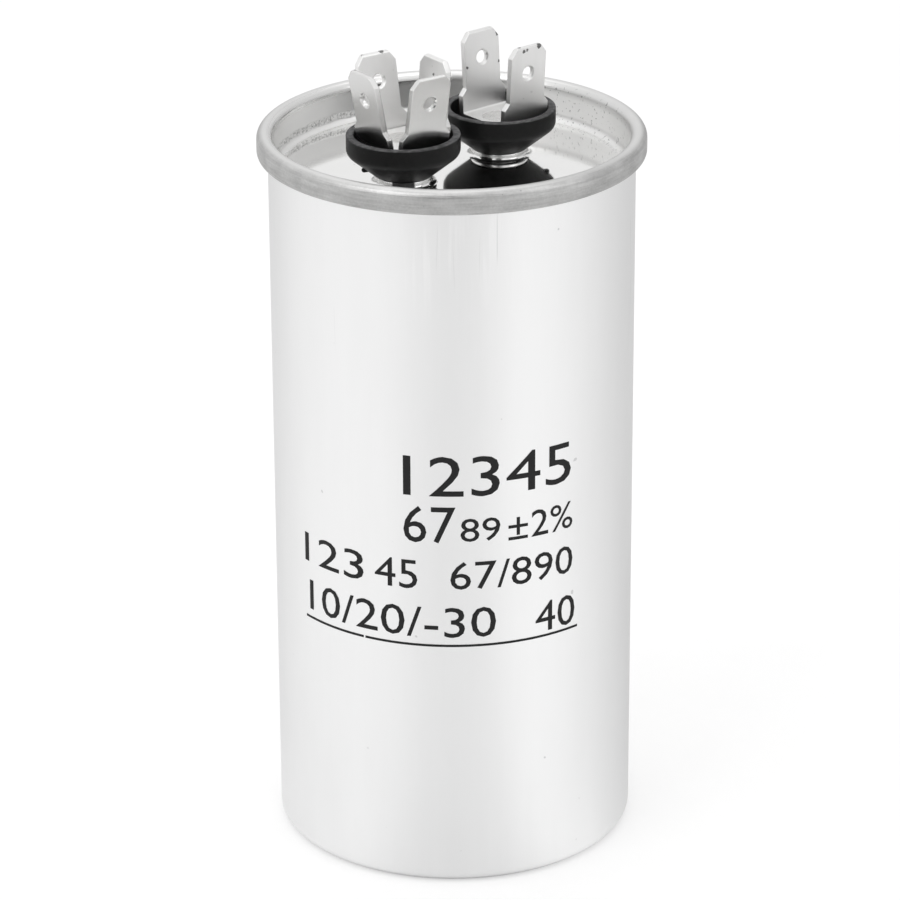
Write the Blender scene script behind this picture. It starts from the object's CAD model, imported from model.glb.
import math

import bmesh
import bpy
from mathutils import Matrix, Vector


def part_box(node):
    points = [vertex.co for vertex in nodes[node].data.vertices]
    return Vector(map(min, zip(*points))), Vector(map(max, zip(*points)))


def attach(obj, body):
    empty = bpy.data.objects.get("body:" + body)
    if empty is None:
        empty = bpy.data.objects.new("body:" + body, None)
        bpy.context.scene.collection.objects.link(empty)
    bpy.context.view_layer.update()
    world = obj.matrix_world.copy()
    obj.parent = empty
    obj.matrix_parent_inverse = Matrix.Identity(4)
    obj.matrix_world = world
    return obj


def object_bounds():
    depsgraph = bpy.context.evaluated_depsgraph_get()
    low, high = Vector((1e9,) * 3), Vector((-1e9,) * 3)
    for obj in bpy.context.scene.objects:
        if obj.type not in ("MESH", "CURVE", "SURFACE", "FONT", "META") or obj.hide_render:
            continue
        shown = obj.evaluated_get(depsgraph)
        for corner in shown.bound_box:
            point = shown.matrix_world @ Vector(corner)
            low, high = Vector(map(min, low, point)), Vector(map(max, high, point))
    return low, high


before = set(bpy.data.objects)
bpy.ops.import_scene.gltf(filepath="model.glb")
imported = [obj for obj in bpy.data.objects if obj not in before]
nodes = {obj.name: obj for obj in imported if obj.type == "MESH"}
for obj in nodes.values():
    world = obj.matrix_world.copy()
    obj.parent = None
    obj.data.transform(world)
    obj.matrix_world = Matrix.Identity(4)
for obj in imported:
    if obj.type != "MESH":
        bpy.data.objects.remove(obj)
cad_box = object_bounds()
scene = bpy.context.scene
MM = 0.001


def mm(*values):
    """Millimetres to metres."""
    return tuple(value * MM for value in values)


# ---- Sizes ----
ltab_lo, ltab_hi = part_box("left_lower_tabs")
LEFT_X = (ltab_lo.x + ltab_hi.x) / 2
LIP_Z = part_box("left_cup")[1].z
# the can's wall, which the scratches and the print lie on
CAN_R = 25.0 * MM

# ---- Camera: fitted to the can's outline in the photo ----
AZ, EL, ROLL = math.radians(-41.35), math.radians(22.867), math.radians(-0.27)
DIST = 601.446 * MM
AIM = Vector((0, 0, 54.815 * MM))
LENS = 172.19
SHIFT = (-0.003618, 0.000545)
# direction on the ground from the object towards the camera, as an atan2 angle
FRONT = math.atan2(-math.cos(AZ), math.sin(AZ))

back = Vector((math.sin(AZ) * math.cos(EL), -math.cos(AZ) * math.cos(EL), math.sin(EL)))
cam_data = bpy.data.cameras.new("camera")
cam_data.sensor_width = 36
cam_data.lens = LENS
cam_data.shift_x, cam_data.shift_y = SHIFT
cam_data.clip_start = 0.01
cam_data.clip_end = 20
cam = bpy.data.objects.new("camera", cam_data)
scene.collection.objects.link(cam)
cam.rotation_mode = "QUATERNION"
cam.location = AIM + back * DIST
turn = (-back).to_track_quat("-Z", "Y")
cam.rotation_quaternion = turn @ Matrix.Rotation(ROLL, 4, "Z").to_quaternion()
scene.camera = cam


# ---- Node helpers ----
class Tree:
    """Short calls for a node tree. A value is a number, a tuple or an output socket."""

    def __init__(self, tree):
        self.tree = tree
        tree.nodes.clear()

    def put(self, socket, value):
        if isinstance(value, bpy.types.NodeSocket):
            self.tree.links.new(value, socket)
        else:
            socket.default_value = value

    def add(self, kind, **settings):
        node = self.tree.nodes.new(kind)
        for key, value in settings.items():
            setattr(node, key, value)
        return node

    def math(self, op, a, b=0.0, c=0.0, clamp=False):
        node = self.add("ShaderNodeMath", operation=op, use_clamp=clamp)
        for i, value in enumerate((a, b, c)):
            self.put(node.inputs[i], value)
        return node.outputs[0]

    def times(self, first, *others):
        for other in others:
            first = self.math("MULTIPLY", first, other)
        return first

    def minus(self, a, b):
        return self.math("SUBTRACT", a, b)

    def max(self, a, b):
        return self.math("MAXIMUM", a, b)

    def abs(self, value):
        return self.math("ABSOLUTE", value)

    def sum(self, base, *terms, clamp=False):
        """Adds each value times its share to base. A clamp holds the last sum within 0 to 1."""
        for i, (value, share) in enumerate(terms):
            op = "ADD" if share > 0 else "SUBTRACT"
            last = i == len(terms) - 1
            base = self.math(op, base, self.times(value, abs(share)), clamp=clamp and last)
        return base

    def turn(self, x, y, start):
        """The turn about z from a starting angle, from -pi to pi."""
        angle = self.minus(self.math("ARCTAN2", y, x), start)
        return self.math("WRAP", angle, -math.pi, math.pi)

    def ramp(self, value, lo, hi, a=0.0, b=1.0):
        """a at lo and below, b at hi and above, smooth between."""
        node = self.add("ShaderNodeMapRange", interpolation_type="SMOOTHSTEP")
        for i, v in enumerate((value, lo, hi, a, b)):
            self.put(node.inputs[i], v)
        return node.outputs[0]

    def fall(self, value, lo, hi):
        """1 at lo and below, 0 at hi and above."""
        return self.ramp(value, lo, hi, 1.0, 0.0)

    def band(self, value, rise, fall):
        """1 between two soft ends, each of them a pair."""
        return self.times(self.ramp(value, *rise), self.fall(value, *fall))

    def colour(self, value, tint=(1.0, 1.0, 1.0)):
        """A grey value times a tint."""
        node = self.add("ShaderNodeCombineColor")
        for i in range(3):
            self.put(node.inputs[i], self.times(value, tint[i]))
        return node.outputs[0]

    def place(self):
        """Object coordinates, in metres."""
        return self.add("ShaderNodeTexCoord").outputs["Object"]

    def stretched(self, vector, scale):
        node = self.add("ShaderNodeMapping")
        self.put(node.inputs["Vector"], vector)
        node.inputs["Scale"].default_value = scale
        return node.outputs[0]

    def split(self, vector):
        node = self.add("ShaderNodeSeparateXYZ")
        self.put(node.inputs[0], vector)
        return node.outputs

    def joined(self, x, y, z=0.0):
        node = self.add("ShaderNodeCombineXYZ")
        for socket, value in zip(node.inputs, (x, y, z)):
            self.put(socket, value)
        return node.outputs[0]

    def vector_math(self, op, a, b=None):
        """A vector operation that gives one value: LENGTH, DISTANCE or DOT_PRODUCT."""
        node = self.add("ShaderNodeVectorMath", operation=op)
        self.put(node.inputs[0], a)
        if b is not None:
            self.put(node.inputs[1], b)
        return node.outputs["Value"]

    def noise(self, vector, scale, detail=3.0, rough=0.55):
        node = self.add("ShaderNodeTexNoise")
        self.put(node.inputs["Vector"], vector)
        node.inputs["Scale"].default_value = scale
        node.inputs["Detail"].default_value = detail
        node.inputs["Roughness"].default_value = rough
        return node.outputs[0]

    def bump(self, height, strength, distance, normal=None):
        node = self.add("ShaderNodeBump")
        self.put(node.inputs["Height"], height)
        node.inputs["Strength"].default_value = strength
        node.inputs["Distance"].default_value = distance
        if normal is not None:
            self.put(node.inputs["Normal"], normal)
        return node.outputs[0]

    def soft_edge(self, radius):
        node = self.add("ShaderNodeBevel", samples=4)
        node.inputs["Radius"].default_value = radius
        return node.outputs[0]


def material(name, metallic=0.0):
    mat = bpy.data.materials.new(name)
    mat.use_nodes = True
    t = Tree(mat.node_tree)
    shader = t.add("ShaderNodeBsdfPrincipled")
    shader.inputs["Metallic"].default_value = metallic
    out = t.add("ShaderNodeOutputMaterial")
    mat.node_tree.links.new(shader.outputs[0], out.inputs[0])
    return mat, t, shader


def wear(names, mat):
    for name in names:
        mesh = nodes[name].data
        mesh.materials.clear()
        mesh.materials.append(mat)


# In the materials, a pair of values is where a mask starts and where it ends.

# ---- Can: satin aluminium with faint draw lines and a few scratches ----
# degrees from the front, lowest and highest z in mm, width in mm, depth from 0 to 1, lean
SCRATCHES = (
    (13.6, 92.4, 98.6, 0.09, 1.0, 0.0), (-4.6, 91.5, 97.0, 0.10, 0.35, -0.35),
    (0.4, 88.6, 94.0, 0.09, 0.30, 0.3), (8.2, 90.0, 95.5, 0.09, 0.30, -0.2),
    (74.8, 86.0, 92.0, 0.12, 0.7, 0.9), (75.6, 76.5, 83.5, 0.10, 0.7, -0.5),
    (73.8, 74.5, 81.0, 0.10, 0.5, 0.3), (-39.0, 78.0, 84.0, 0.08, 0.25, 0.2),
    (152.0, 55.0, 78.0, 0.10, 0.6, -0.3), (-118.0, 34.0, 60.0, 0.09, 0.5, 0.3),
    (112.0, 14.0, 28.0, 0.10, 0.5, -0.2),
)
# a lean of 1 turns a scratch by this many radians a metre
LEAN = 4
RUB_Z = mm(82, 93)
RUB_TURN = (0.14, 0.42)
LOW_Z = mm(8, 30)
GRIME_Z = mm(0.15, 0.9)


def scratch_mask(t, angle, z):
    """Thin upright scratches on the wall."""
    lines = None
    for degrees, low, high, width, depth, lean in SCRATCHES:
        tilt = t.times(t.minus(z, (low + high) / 2 * MM), lean * LEAN)
        off = t.abs(t.minus(t.math("ADD", angle, tilt), math.radians(degrees)))
        across = t.ramp(t.times(off, CAN_R), width * MM * 0.35, width * MM, depth, 0.0)
        ends = t.band(z, mm(low - 1.5, low + 1.5), mm(high - 1.5, high + 1.0))
        mark = t.times(across, ends)
        lines = mark if lines is None else t.max(lines, mark)
    return lines


def can_material():
    mat, t, s = material("can_aluminium", metallic=1.0)
    p = t.place()
    x, y, z = t.split(p)
    angle = t.turn(x, y, FRONT)
    fine = t.noise(t.stretched(p, (1, 1, 0.012)), 3800, 2.0)
    broad = t.noise(t.stretched(p, (1, 1, 0.08)), 300, 3.0)
    cloud = t.noise(t.stretched(p, (1, 1, 0.55)), 80, 4.0)
    # faint upright rub marks under the rim, mostly on the front
    dash = t.noise(t.stretched(p, (1, 1, 0.06)), 1150, 1.0)
    rubbed = t.times(t.ramp(z, *RUB_Z), t.ramp(t.abs(angle), *RUB_TURN, 1.0, 0.08))
    rub = t.times(t.ramp(dash, 0.52, 0.72), rubbed)
    lines = scratch_mask(t, angle, z)
    # a few dark specks, most of them low down, and a thin line of grime at the foot
    low = t.fall(z, *LOW_Z)
    speck = t.ramp(t.sum(t.noise(p, 1100, 0.0), (low, 0.03)), 0.885, 0.905)
    foot = t.fall(z, *GRIME_Z)
    value = t.sum(0.885, (broad, 0.03), (cloud, 0.05), (fine, 0.012), (rub, 0.05),
                  (lines, -0.16), (foot, -0.30), (speck, -0.22), clamp=True)
    t.put(s.inputs["Base Color"], t.colour(value))
    rough = t.sum(0.27, (fine, 0.08), (cloud, 0.10), (rub, 0.10), clamp=True)
    t.put(s.inputs["Roughness"], rough)
    height = t.sum(0.0, (fine, 0.35), (broad, 0.5), (lines, -1.0), (rub, -0.25))
    t.put(s.inputs["Normal"], t.bump(height, 0.14, 0.06 * MM))
    return mat


# ---- Lid: satin rim, mirror-bright pan, a line of sealant along the pan's foot ----
# radii and heights on the lid
OUTSIDE_R = mm(25.55, 26.25)
RIM_R = mm(24.40, 25.00)
INNER_CROWN_R, INNER_CROWN_Z = mm(23.8, 24.0), mm(100.3, 101.2)
WALL_R, WALL_Z = mm(22.9, 23.7), mm(100.3, 101.6)
SHOULDER_R, SHOULDER_Z = mm(13.5, 14.0), mm(97.00, 97.25)
SEALANT_R, SEALANT_Z, SEALANT_HALF = mm(23.0, 23.4), 97.35 * MM, mm(0.22, 0.55)
DOTS_R = mm(22.6, 23.3), mm(24.4, 24.7)
SMEAR_R, SMEAR_X, SMEAR_Z = mm(15.0, 15.5), mm(-3, -1), mm(96.90, 97.05)
# turns from the front, in radians
DULL_CROWN_TURN = (-0.5, 0.8)
SEALANT_TURN = (-2.75, -2.55), (-1.75, -1.55)
DOTS_TURN = (1.6, 1.85), (2.5, 2.75)
DARK_CROWN_TURN, DARK_CROWN_HALF = 0.25, (0.35, 1.1)
SMEAR_HALF = (0.36, 0.44)


def lid_material():
    mat, t, s = material("lid_tinplate", metallic=1.0)
    p = t.place()
    x, y, z = t.split(p)
    flat = t.stretched(p, (1, 1, 0))
    radius = t.vector_math("LENGTH", flat)
    around = t.turn(x, y, FRONT)
    # the rim's outside is duller than its crown, and the pan's wall duller than its floor
    outside = t.ramp(radius, *OUTSIDE_R)
    edge = t.times(t.ramp(radius, *INNER_CROWN_R), t.ramp(z, *INNER_CROWN_Z),
                   t.ramp(around, *DULL_CROWN_TURN, 0.45, 1.0))
    rim = t.max(t.ramp(radius, *RIM_R), edge)
    wall = t.times(t.ramp(radius, *WALL_R), t.fall(z, *WALL_Z))
    # lines that run round the rim: noise stretched along the angle
    ring = t.joined(t.times(t.math("ARCTAN2", y, x), 0.0016), radius, z)
    brush = t.noise(ring, 4200, 3.0)
    patch = t.noise(p, 260, 3.0)
    fine = t.noise(p, 3200, 3.0)
    grit = t.noise(p, 1900, 4.0, 0.7)
    # a ragged line of sealant at the foot of the pan's wall, on the left
    line_z = t.sum(SEALANT_Z, (t.noise(flat, 260, 2.0), 0.9 * MM))
    away = t.abs(t.minus(z, line_z))
    sealant = t.times(t.fall(away, *SEALANT_HALF), t.ramp(radius, *SEALANT_R))
    left = t.band(around, *SEALANT_TURN)
    sealant = t.times(sealant, t.times(left, t.ramp(grit, 0.36, 0.52)))
    sparkle = t.sum(1.05, (fine, -1.9))
    # scattered specks on the right of the pan's wall, and a few all round the rim
    dotted = t.times(t.band(around, *DOTS_TURN), t.band(radius, *DOTS_R))
    dots = t.times(t.ramp(t.noise(p, 2300, 1.0), 0.65, 0.72), dotted)
    dots = t.max(dots, t.times(t.ramp(t.noise(p, 1300, 0.0), 0.85, 0.88), 0.5))
    # the crown is darker at the front, and the outside is mottled
    front = t.fall(t.abs(t.minus(around, DARK_CROWN_TURN)), *DARK_CROWN_HALF)
    crown = t.math("SUBTRACT", rim, outside, clamp=True)
    mottle = ((brush, 0.30), (patch, 0.22), (fine, 0.16))
    dull = t.sum(0.17, *((t.minus(0.5, spots), share) for spots, share in mottle))
    # a smear of black resin on the front of the left boss
    there = t.abs(t.turn(t.minus(x, LEFT_X), y, FRONT))
    smear = t.times(t.ramp(z, *SMEAR_Z), t.fall(x, *SMEAR_X))
    smear = t.times(t.fall(there, *SMEAR_HALF), smear, t.fall(radius, *SMEAR_R))
    value = t.sum(0.86, (patch, 0.05), (wall, -0.02), (rim, -0.16),
                  (t.times(front, crown), -0.14), (t.times(outside, dull), -1.0),
                  (t.times(sealant, sparkle), -1.0), (dots, -0.34), (smear, -0.86), clamp=True)
    t.put(s.inputs["Base Color"], t.colour(value, (1.0, 0.998, 0.99)))
    t.put(s.inputs["Metallic"], t.minus(1.0, smear))
    # the drawn shoulder of each boss is a little duller than the floor
    shoulder = t.times(t.fall(radius, *SHOULDER_R), t.ramp(z, *SHOULDER_Z))
    rough = t.sum(0.05, (patch, 0.04), (wall, 0.26), (rim, 0.22), (shoulder, 0.20),
                  (t.times(outside, brush), 0.20), (sealant, 0.25), clamp=True)
    t.put(s.inputs["Roughness"], rough)
    lines = t.sum(0.0, (brush, 0.7), (fine, 0.7))
    height = t.sum(t.times(rim, lines), (t.times(sealant, grit), 11.0), (patch, 0.4))
    t.put(s.inputs["Normal"], t.bump(height, 0.25, 0.07 * MM))
    return mat


# ---- Cups: black moulded resin, scuffed on the lip ----
LIP_EDGE = LIP_Z - 0.22 * MM, LIP_Z - 0.04 * MM


def cup_material():
    mat, t, s = material("cup_plastic")
    p = t.place()
    grain = t.noise(p, 2600, 4.0, 0.65)
    patch = t.noise(p, 320, 3.0)
    lip = t.ramp(t.split(p)[2], *LIP_EDGE)
    scuff = t.times(lip, t.ramp(t.noise(p, 1100, 3.0), 0.34, 0.68))
    spot = t.ramp(t.noise(p, 1700, 1.0), 0.74, 0.78)
    value = t.sum(0.005, (patch, 0.006), (scuff, 0.065), (lip, 0.04), (spot, 0.02))
    t.put(s.inputs["Base Color"], t.colour(value, (1.0, 1.0, 1.02)))
    rough = t.sum(0.36, (grain, 0.20), (lip, 0.25), clamp=True)
    t.put(s.inputs["Roughness"], rough)
    s.inputs["Specular IOR Level"].default_value = 0.22
    height = t.sum(grain, (patch, 0.8))
    t.put(s.inputs["Normal"], t.bump(height, 0.25, 0.04 * MM, t.soft_edge(0.08 * MM)))
    return mat


# ---- Tab brackets: tinned sheet with bright cut edges ----
# places where the tin is chipped off: x, y, z and radius in mm
CHIPS = (
    (12.3, 4.5, 112.0, 0.22), (7.8, -4.9, 112.9, 0.20), (8.3, -5.4, 112.5, 0.20),
    (8.9, -5.4, 112.6, 0.14), (11.0, -5.4, 112.8, 0.30), (12.4, 4.2, 108.1, 0.12),
    (6.7, 4.3, 108.2, 0.12), (-6.9, 6.5, 112.9, 0.32), (-9.9, 6.9, 113.0, 0.14),
    (-14.8, 2.6, 113.0, 0.18), (-3.9, -0.7, 110.8, 0.12),
)
CHIP_FADE = 0.14
LEFT_TABS_X = mm(-2, 2)
OUTER_TAB_X, FRONT_TAB_Y = mm(-13.7, -12.7), mm(-4.0, -3.0)
TARNISH_Z = mm(104.5, 110.5)


def tab_material():
    mat, t, s = material("tab_tin", metallic=1.0)
    p = t.place()
    x, y, z = t.split(p)
    streak = t.noise(t.stretched(p, (1, 1, 0.10)), 900, 2.0)
    cloud = t.noise(p, 170, 2.0)
    grain = t.noise(p, 4200, 2.0)
    ragged = t.times(t.minus(t.noise(p, 2400, 3.0), 0.5), 0.6 * MM)
    chip = None
    for *spot, size in CHIPS:
        away = t.math("ADD", t.vector_math("DISTANCE", p, mm(*spot)), ragged)
        mark = t.fall(away, *mm(size, size + CHIP_FADE))
        chip = mark if chip is None else t.max(chip, mark)
    pit = t.times(t.ramp(t.noise(p, 1500, 0.0), 0.85, 0.88), 0.5)
    # cut edges are bright: there the rounded normal turns away from the flat one
    edge_normal = t.soft_edge(0.17 * MM)
    flat_normal = t.add("ShaderNodeNewGeometry").outputs["Normal"]
    edge = t.fall(t.vector_math("DOT_PRODUCT", edge_normal, flat_normal), 0.90, 0.995)
    # the left terminal's outer and front tabs are darker and tarnished low down
    left = t.fall(x, *LEFT_TABS_X)
    dark = t.times(left, t.max(t.fall(x, *OUTER_TAB_X), t.fall(y, *FRONT_TAB_Y)))
    light = t.minus(left, dark)
    tarnish = t.times(dark, t.fall(z, *TARNISH_Z))
    value = t.sum(0.80, (cloud, 0.06), (dark, -0.07), (light, 0.07), (streak, 0.04),
                  (tarnish, -0.12), (edge, 0.14), (pit, -0.22), (chip, -0.66), clamp=True)
    t.put(s.inputs["Base Color"], t.colour(value, (1.0, 0.997, 0.99)))
    rough = t.sum(0.30, (cloud, 0.08), (dark, -0.12), (grain, 0.03), (chip, 0.3), clamp=True)
    t.put(s.inputs["Roughness"], rough)
    height = t.sum(0.0, (cloud, 1.0), (streak, 0.08), (grain, 0.02), (chip, -1.2))
    t.put(s.inputs["Normal"], t.bump(height, 0.16, 0.08 * MM, edge_normal))
    return mat


# ---- Pieces inside the can ----
def inner_material(name, tint, values, roughs, scale, stretch=(1, 1, 1), metallic=0.0,
                   depth=0.05):
    """Colour and roughness vary with a noise, and the surface is uneven by depth, in mm."""
    mat, t, s = material(name, metallic=metallic)
    p = t.place()
    a = t.noise(t.stretched(p, stretch), scale, 4.0)
    b = t.noise(t.stretched(p, stretch), scale * 4.3, 3.0)
    both = t.sum(0.0, (a, 0.65), (b, 0.35))
    t.put(s.inputs["Base Color"], t.colour(t.ramp(both, 0.3, 0.7, *values), tint))
    t.put(s.inputs["Roughness"], t.ramp(b, 0.3, 0.7, *roughs))
    t.put(s.inputs["Normal"], t.bump(both, 0.3, depth * MM))
    return mat


def winding_material(name, tint, metallic, rough):
    """Many turns seen on end as fine rings, and lines round the side."""
    mat, t, s = material(name, metallic=metallic)
    p = t.place()
    radius = t.vector_math("LENGTH", t.stretched(p, (1, 1, 0)))
    turns = t.noise(t.joined(radius, t.times(t.split(p)[2], 0.4)), 6000, 2.0)
    patch = t.noise(p, 180, 3.0)
    value = t.sum(0.78, (turns, 0.22), (patch, 0.10))
    t.put(s.inputs["Base Color"], t.colour(value, tint))
    t.put(s.inputs["Roughness"], t.sum(rough, (patch, 0.2)))
    t.put(s.inputs["Normal"], t.bump(turns, 0.35, 0.05 * MM))
    return mat


wear(["can"], can_material())
wear(["lid"], lid_material())
wear(["left_cup", "right_cup"], cup_material())
wear(["left_lower_tabs", "left_upper_tabs", "right_tabs", "left_solder_lug",
      "right_solder_lug"], tab_material())
wear(["film_winding"], winding_material("winding_film", (0.80, 0.78, 0.68), 0.35, 0.25))

# pieces, material, tint, brightness, roughness, scale of the noise, other settings
INNER = (
    (["left_rivet", "right_rivet"], "rivet_metal",
     (1.0, 0.995, 0.98), (0.70, 0.78), (0.24, 0.32), 320, {"metallic": 1.0, "depth": 0.008}),
    (["left_seal", "right_seal", "seam_compound"], "seal_rubber",
     (1.0, 1.0, 1.0), (0.02, 0.05), (0.6, 0.85), 900, {}),
    (["left_insulator", "right_insulator"], "insulator_board",
     (1.0, 0.55, 0.28), (0.22, 0.34), (0.5, 0.75), 500, {"stretch": (1, 1, 4)}),
    (["left_lead", "right_lead"], "lead_wire",
     (1.0, 0.62, 0.38), (0.62, 0.82), (0.2, 0.38), 1200, {"metallic": 1.0}),
    (["lead_sleeve"], "sleeve_plastic",
     (1.0, 0.96, 0.84), (0.72, 0.86), (0.45, 0.62), 800, {"stretch": (1, 1, 0.3)}),
    (["top_spacer", "bottom_spacer"], "spacer_plastic",
     (1.0, 1.0, 0.97), (0.76, 0.88), (0.38, 0.55), 300, {}),
    (["top_contact", "bottom_contact"], "contact_zinc",
     (1.0, 1.0, 1.02), (0.30, 0.52), (0.55, 0.8), 1600, {"metallic": 1.0, "depth": 0.2}),
    (["core_tube"], "core_plastic",
     (1.0, 0.94, 0.78), (0.66, 0.80), (0.4, 0.6), 400, {"stretch": (1, 1, 0.2)}),
    (["winding_wrap"], "wrap_film",
     (1.0, 0.88, 0.48), (0.70, 0.84), (0.16, 0.30), 240, {"stretch": (1, 1, 0.35)}),
)
for pieces, name, tint, values, roughs, scale, others in INNER:
    wear(pieces, inner_material(name, tint, values, roughs, scale, **others))


# ---- Print on the can: plain numbers and marks ----
INK_R = CAN_R + 0.014 * MM
# one degree of turn, as a length along the wall
ARC = CAN_R * math.pi / 180
# the longest step along the wall, and a stop for the number of faces
LONGEST_STEP, MOST_FACES = 0.5 * MM, 60000
# name, figures, first and last degree from the front, lowest z and height in mm
ROWS = (
    ("row_1", "12345", -15.7, 39.4, 58.55, 5.85),
    ("row_2a", "67", -15.7, 0.6, 51.75, 5.35),
    ("row_2b", "89", 2.1, 14.6, 51.95, 3.4),
    ("row_2c", "±2%", 17.2, 40.2, 51.6, 3.9),
    ("row_3a", "123", -54.6, -29.4, 44.8, 4.3),
    ("row_3b", "45", -25.4, -11.4, 44.8, 4.3),
    ("row_3c", "67/890", -1.1, 40.3, 44.9, 4.1),
    ("row_4a", "10/20/-30", -52.4, 13.2, 37.7, 4.5),
    ("row_4b", "40", 26.4, 41.3, 37.1, 4.5),
)
# the underline: its two parts and its steps in degrees, its lower and upper edge in mm
LINES, LINE_STEP = ((-54.4, -29.6), (-29.0, 42.5)), 1.4
LINE_Z = (36.33, 36.68)


def ink_material():
    mat, t, s = material("ink")
    p = t.place()
    grain = t.noise(p, 5200, 3.0, 0.7)
    patch = t.noise(p, 420, 2.0)
    value = t.sum(0.008, (grain, 0.016))
    t.put(s.inputs["Base Color"], t.colour(value, (1.0, 1.0, 1.02)))
    t.put(s.inputs["Roughness"], t.sum(0.45, (patch, 0.25)))
    s.inputs["Specular IOR Level"].default_value = 0.25
    t.put(s.inputs["Normal"], t.bump(grain, 0.25, 0.02 * MM))
    return mat


def long_edges(bm):
    return [e for e in bm.edges if abs(e.verts[0].co.x - e.verts[1].co.x) > LONGEST_STEP]


def wrapped(bm, name, mat):
    """Wraps a flat drawing round the can. Its x runs along the wall and its y up the can."""
    edges = long_edges(bm)
    while edges and len(bm.faces) <= MOST_FACES:
        bmesh.ops.subdivide_edges(bm, edges=edges, cuts=1)
        bmesh.ops.triangulate(bm, faces=bm.faces[:])
        edges = long_edges(bm)
    for v in bm.verts:
        a = FRONT + v.co.x / CAN_R
        v.co = Vector((INK_R * math.cos(a), INK_R * math.sin(a), v.co.y))
    bmesh.ops.recalc_face_normals(bm, faces=bm.faces[:])
    for f in bm.faces:
        c = f.calc_center_median()
        if f.normal.x * c.x + f.normal.y * c.y < 0:
            f.normal_flip()
    mesh = bpy.data.meshes.new(name)
    bm.to_mesh(mesh)
    bm.free()
    mesh.materials.append(mat)
    piece = bpy.data.objects.new(name, mesh)
    scene.collection.objects.link(piece)
    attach(piece, "root")


def glyphs(text, x0, x1, z0, height):
    """A row of plain figures from x0 to x1 on the wall, standing on z0, in metres."""
    curve = bpy.data.curves.new("row", "FONT")
    curve.body = text
    curve.resolution_u = 3
    text_object = bpy.data.objects.new("row", curve)
    scene.collection.objects.link(text_object)
    bpy.context.view_layer.update()
    flat = text_object.evaluated_get(bpy.context.evaluated_depsgraph_get()).to_mesh()
    bm = bmesh.new()
    bm.from_mesh(flat)
    bpy.data.objects.remove(text_object)
    lo = [min(v.co[i] for v in bm.verts) for i in (0, 1)]
    hi = [max(v.co[i] for v in bm.verts) for i in (0, 1)]
    for v in bm.verts:
        v.co.x = x0 + (v.co.x - lo[0]) / (hi[0] - lo[0]) * (x1 - x0)
        v.co.y = z0 + (v.co.y - lo[1]) / (hi[1] - lo[1]) * height
        v.co.z = 0
    return bm


def underline():
    """Two thin bars side by side, in metres."""
    bm = bmesh.new()
    for a0, a1 in LINES:
        n = max(2, round((a1 - a0) / LINE_STEP))
        xs = [ARC * (a0 + (a1 - a0) * i / n) for i in range(n + 1)]
        low, top = ([bm.verts.new((x, z * MM, 0)) for x in xs] for z in LINE_Z)
        for i in range(n):
            bm.faces.new((low[i], low[i + 1], top[i + 1], top[i]))
    return bm


ink = ink_material()
for name, text, a0, a1, z, height in ROWS:
    wrapped(glyphs(text, a0 * ARC, a1 * ARC, z * MM, height * MM), name, ink)
wrapped(underline(), "underline", ink)

# ---- Floor: white, and its glow sets what the shiny can and lid reflect ----
FLOOR_R = 4.0
# the floor's own light as the camera sees it
FLOOR_GLOW = 0.47


def stage_material():
    mat = bpy.data.materials.new("floor")
    mat.use_nodes = True
    t = Tree(mat.node_tree)
    p = t.place()
    x, y, z = t.split(p)
    path = t.add("ShaderNodeLightPath")
    diffuse = t.add("ShaderNodeBsdfDiffuse")
    t.put(diffuse.inputs["Color"], t.colour(t.sum(0.52, (t.noise(p, 90, 2.0), 0.02))))
    # what shiny surfaces see of the floor: two bright sides, less in front and behind
    angle = t.turn(x, y, FRONT)
    away = t.abs(angle)
    side = t.times(t.ramp(angle, -0.2, 0.8, 0.12, 0.19), t.ramp(away, 0.10, 0.75))
    seen = t.times(t.math("ADD", 0.25, side), t.ramp(angle, -2.9, -1.45, 0.35, 1.0),
                   t.ramp(angle, 0.65, 2.6, 1.0, 0.20))
    # less close to the can, most of all at its sides
    close = t.fall(t.vector_math("LENGTH", p), *mm(30, 110))
    shade = t.times(t.ramp(away, 0.8, 1.5), 0.16)
    seen = t.times(seen, t.minus(1.0, t.times(close, shade)))
    strength = t.sum(t.times(path.outputs["Is Glossy Ray"], seen),
                     (path.outputs["Is Camera Ray"], FLOOR_GLOW),
                     (path.outputs["Is Transmission Ray"], FLOOR_GLOW))
    glow = t.add("ShaderNodeEmission")
    t.put(glow.inputs["Strength"], strength)
    both = t.add("ShaderNodeAddShader")
    t.put(both.inputs[0], diffuse.outputs[0])
    t.put(both.inputs[1], glow.outputs[0])
    out = t.add("ShaderNodeOutputMaterial")
    t.put(out.inputs[0], both.outputs[0])
    return mat


floor_bm = bmesh.new()
bmesh.ops.create_circle(floor_bm, cap_ends=True, segments=96, radius=FLOOR_R)
floor_mesh = bpy.data.meshes.new("floor")
floor_bm.to_mesh(floor_mesh)
floor_bm.free()
floor = bpy.data.objects.new("floor", floor_mesh)
floor.location.z = cad_box[0].z
scene.collection.objects.link(floor)
floor_mesh.materials.append(stage_material())

# ---- World: a soft white tent with one darker side, and a dark camera in front ----
DARK_SIDE = FRONT + 1.9
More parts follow.
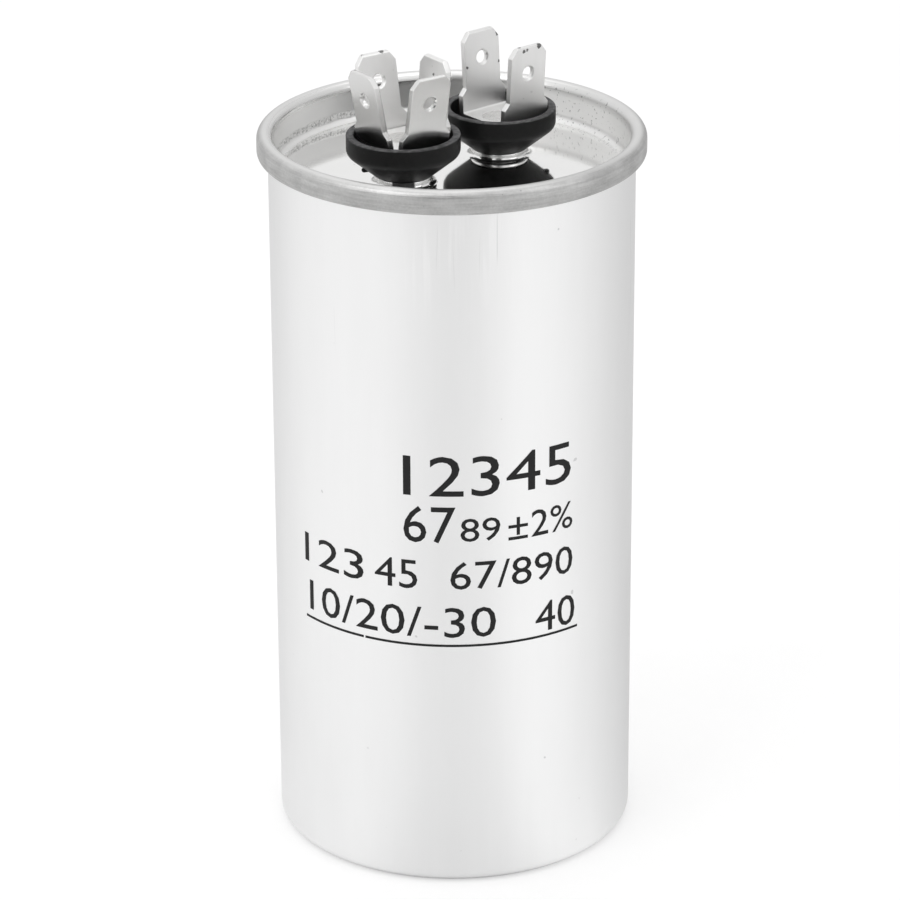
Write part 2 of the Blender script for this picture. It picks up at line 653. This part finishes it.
# where the camera is in that world: its direction, half its width in radians, and its top
CAMERA_TURN = FRONT + math.radians(-3)
CAMERA_HALF, CAMERA_TOP = (0.19, 0.25), (0.60, 0.72)


def tent_world():
    world = bpy.data.worlds.new("studio")
    world.use_nodes = True
    t = Tree(world.node_tree)
    x, y, z = t.split(t.add("ShaderNodeTexCoord").outputs["Generated"])
    path = t.add("ShaderNodeLightPath")
    sky = t.math("ADD", t.ramp(z, -0.05, 0.35, 0.62, 0.92), t.ramp(z, 0.5, 1.0, 0.0, 0.12))
    side = t.sum(0.0, (x, math.cos(DARK_SIDE)), (y, math.sin(DARK_SIDE)))
    sky = t.times(sky, t.ramp(side, 0.2, 1.0, 1.0, 0.78))
    # only shiny surfaces see the camera
    camera = t.times(t.fall(t.abs(t.turn(x, y, CAMERA_TURN)), *CAMERA_HALF),
                     t.fall(z, *CAMERA_TOP), path.outputs["Is Glossy Ray"])
    sky = t.times(sky, t.sum(1.0, (camera, -0.93)))
    background = t.add("ShaderNodeBackground")
    t.put(background.inputs["Color"], t.colour(t.max(sky, path.outputs["Is Camera Ray"])))
    background.inputs["Strength"].default_value = 1.0
    out = t.add("ShaderNodeOutputWorld")
    t.put(out.inputs[0], background.outputs[0])
    return world


scene.world = tent_world()


# ---- Lamps ----
def lamp(name, azimuth, elevation, distance, size, watts):
    """An area lamp aimed at the object. Azimuth is from the camera's side, in degrees."""
    data = bpy.data.lights.new(name, "AREA")
    data.shape = "RECTANGLE"
    data.size, data.size_y = size
    data.energy = watts
    lamp_object = bpy.data.objects.new(name, data)
    a, e = FRONT + math.radians(azimuth), math.radians(elevation)
    ray = Vector((math.cos(a) * math.cos(e), math.sin(a) * math.cos(e), math.sin(e)))
    where = ray * distance
    lamp_object.location = where + AIM
    lamp_object.rotation_mode = "QUATERNION"
    lamp_object.rotation_quaternion = (-where).to_track_quat("-Z", "Y")
    scene.collection.objects.link(lamp_object)


lamp("key", -48, 48, 0.9, (0.5, 0.5), 1.1)
lamp("fill", 62, 35, 0.9, (0.35, 0.6), 0.5)
lamp("top", 180, 75, 0.8, (0.6, 0.6), 0.5)

scene.view_settings.view_transform = "Standard"
